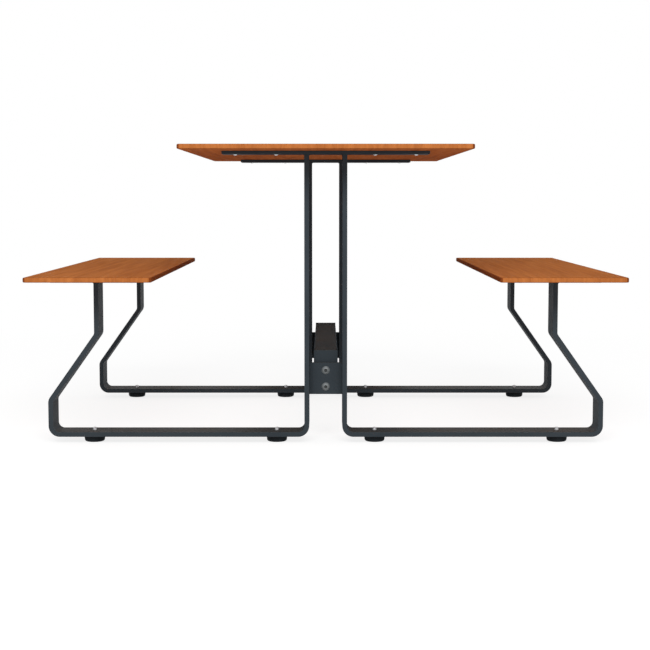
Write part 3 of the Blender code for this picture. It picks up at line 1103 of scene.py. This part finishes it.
class BENCHTABLE_OT_stage(bpy.types.Operator):
    """Makes the floor, the light and the camera"""

    bl_idname = "bench_table.stage"
    bl_label = "Studio"

    def floor_finish(self):
        """White to the camera, with the object's soft shadow; a plain pale floor to its light."""
        finish = Finish("studio_floor")
        pale = finish.add("BsdfDiffuse", {"Color": (FLOOR_GREY,) * 3}).outputs[0]
        shadowed = finish.add("BsdfDiffuse", {"Color": (SHADOW_GREY,) * 3}).outputs[0]
        glow = finish.add("Emission", {"Strength": SHADOW_GLOW}).outputs[0]
        white = finish.add("Emission", {"Strength": 1.0}).outputs[0]
        clear = finish.add("BsdfTransparent", {}).outputs[0]
        near = finish.add("AddShader", {0: glow, 1: shadowed}).outputs[0]
        distance = finish.add("VectorMath", {0: finish.place}, operation="LENGTH").outputs["Value"]
        fade = finish.remap(distance, *SHADOW_FADE)
        shown = finish.add("MixShader", {0: fade, 1: near, 2: white}).outputs[0]
        above = finish.add("MixShader", {0: finish.seen_rays(), 1: pale, 2: shown}).outputs[0]
        below = finish.add("NewGeometry", {}).outputs["Backfacing"]
        both = finish.add("MixShader", {0: below, 1: above, 2: clear}).outputs[0]
        finish.feed(finish.nodes["Material Output"].inputs["Surface"], both)
        finish.nodes.remove(finish.shader)
        return finish.material

    def add_floor(self, context):
        """A wide floor just under the feet."""
        shape = bmesh.new()
        place = Matrix.Translation((0, 0, -FLOOR_DROP))
        bmesh.ops.create_grid(shape, x_segments=1, y_segments=1, size=FLOOR_SIZE, matrix=place)
        mesh = bpy.data.meshes.new("studio_floor")
        shape.to_mesh(mesh)
        shape.free()
        mesh.materials.append(self.floor_finish())
        floor = bpy.data.objects.new("studio_floor", mesh)
        context.scene.collection.objects.link(floor)

    def add_sky(self, context, strength):
        """Even light from all round, seen as white."""
        world = bpy.data.worlds.new("studio_sky")
        context.scene.world = world
        world.use_nodes = True
        sky = Nodes(world.node_tree)
        background = sky.nodes["Background"]
        sky.feed(background.inputs["Color"], (1.0, 1.0, 1.0))
        level = sky.remap(sky.seen_rays(), 0.0, 1.0, strength, 1.0)
        sky.feed(background.inputs["Strength"], level)

    def add_key(self, context, power):
        """A large soft lamp over and behind the camera."""
        lamp = bpy.data.lights.new("key_lamp", "AREA")
        lamp.shape = "RECTANGLE"
        lamp.size, lamp.size_y = LAMP_SIZE
        lamp.energy = power
        key = bpy.data.objects.new("key_lamp", lamp)
        key.location = LAMP_PLACE
        key.rotation_euler = (LAMP_AIM - LAMP_PLACE).to_track_quat("-Z", "Y").to_euler()
        context.scene.collection.objects.link(key)

    def add_camera(self, context, stage):
        """A camera at the end of the table, a little over seat height."""
        data = bpy.data.cameras.new("camera")
        data.lens = stage.lens
        camera = bpy.data.objects.new("camera", data)
        camera.location = (-stage.camera_aside, -stage.camera_distance, stage.camera_height)
        camera.rotation_euler = (math.pi / 2 - stage.camera_pitch, 0, 0)
        context.scene.collection.objects.link(camera)
        context.scene.camera = camera

    def execute(self, context):
        stage = context.scene.bench_table.stage
        self.add_floor(context)
        self.add_sky(context, stage.sky_strength)
        self.add_key(context, stage.key_power)
        self.add_camera(context, stage)
        context.scene.view_settings.view_transform = "Standard"
        return {"FINISHED"}


MAKERS = (
    BENCHTABLE_OT_boards,
    BENCHTABLE_OT_legs,
    BENCHTABLE_OT_flats,
    BENCHTABLE_OT_stretcher_tube,
    BENCHTABLE_OT_welds,
    BENCHTABLE_OT_feet,
    BENCHTABLE_OT_stretcher_bolts,
    BENCHTABLE_OT_foot_bolts,
    BENCHTABLE_OT_board_screws,
    BENCHTABLE_OT_stage,
)


class BENCHTABLE_PT_sidebar(bpy.types.Panel):
    """Lists the pieces of the table, with their settings"""

    bl_idname = "BENCHTABLE_PT_sidebar"
    bl_label = "Bench table"
    bl_space_type = "VIEW_3D"
    bl_region_type = "UI"
    bl_category = "Bench table"

    def draw(self, context):
        layout = self.layout
        for maker in MAKERS:
            layout.operator(maker.bl_idname)
        whole = context.scene.bench_table
        for kind in whole.bl_rna.properties.keys():
            group = getattr(whole, kind)
            if not isinstance(group, bpy.types.PropertyGroup):
                continue
            box = layout.box()
            box.label(text=whole.bl_rna.properties[kind].name)
            for name in group.__annotations__:
                box.prop(group, name)


CLASSES = (
    BoardSettings,
    SteelSettings,
    FootSettings,
    StretcherBoltSettings,
    FootBoltSettings,
    BoardScrewSettings,
    MetalSettings,
    StageSettings,
    BenchTableSettings,
    *MAKERS,
    BENCHTABLE_PT_sidebar,
)


def register():
    """Makes the settings, operators and sidebar known to Blender."""
    for item in CLASSES:
        bpy.utils.register_class(item)
    bpy.types.Scene.bench_table = PointerProperty(type=BenchTableSettings)


def unregister():
    """Takes them out again."""
    del bpy.types.Scene.bench_table
    for item in reversed(CLASSES):
        bpy.utils.unregister_class(item)


def main():
    """Builds everything in order."""
    register()
    bpy.ops.bench_table.boards()
    bpy.ops.bench_table.legs()
    bpy.ops.bench_table.flats()
    bpy.ops.bench_table.stretcher_tube()
    bpy.ops.bench_table.welds()
    bpy.ops.bench_table.feet()
    bpy.ops.bench_table.stretcher_bolts()
    bpy.ops.bench_table.foot_bolts()
    bpy.ops.bench_table.board_screws()
    bpy.ops.bench_table.stage()


if __name__ == "__main__":
    main()
